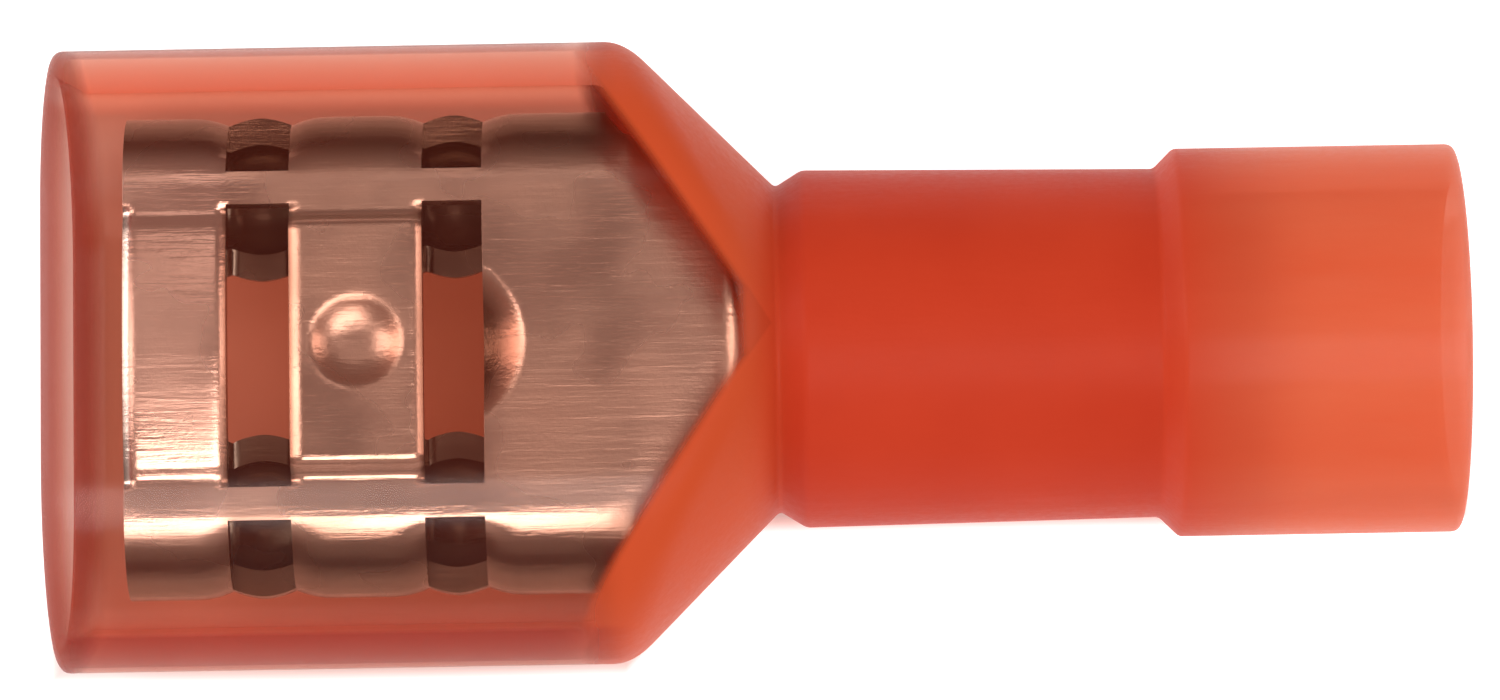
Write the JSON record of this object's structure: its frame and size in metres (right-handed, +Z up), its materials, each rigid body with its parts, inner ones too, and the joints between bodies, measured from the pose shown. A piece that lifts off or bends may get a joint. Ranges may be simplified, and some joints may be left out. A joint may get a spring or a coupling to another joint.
{
  "type": "female spade terminal",
  "caption": "Fully insulated female spade terminal: flat hooded receptacle for a wide tab, tapering to a crimp barrel with a bell for the wire's insulation.",
  "frame": {"origin": "middle of the part's box, at the level it lies on", "axes": "+X from the hood's mouth to the wire entry, +Y across the tab's width, +Z up through the receptacle's floor side"},
  "size_m": [0.0212, 0.0094, 0.0059],
  "materials": {
    "nylon": "translucent red nylon, satin",
    "tinned_brass": "tin plated, bright",
    "sleeve_metal": "tinned copper alloy, satin"
  },
  "bodies": {
    "root": {"housing": "nylon", "terminal": "tinned_brass", "sleeve": "sleeve_metal"}
  },
  "joints": []
}
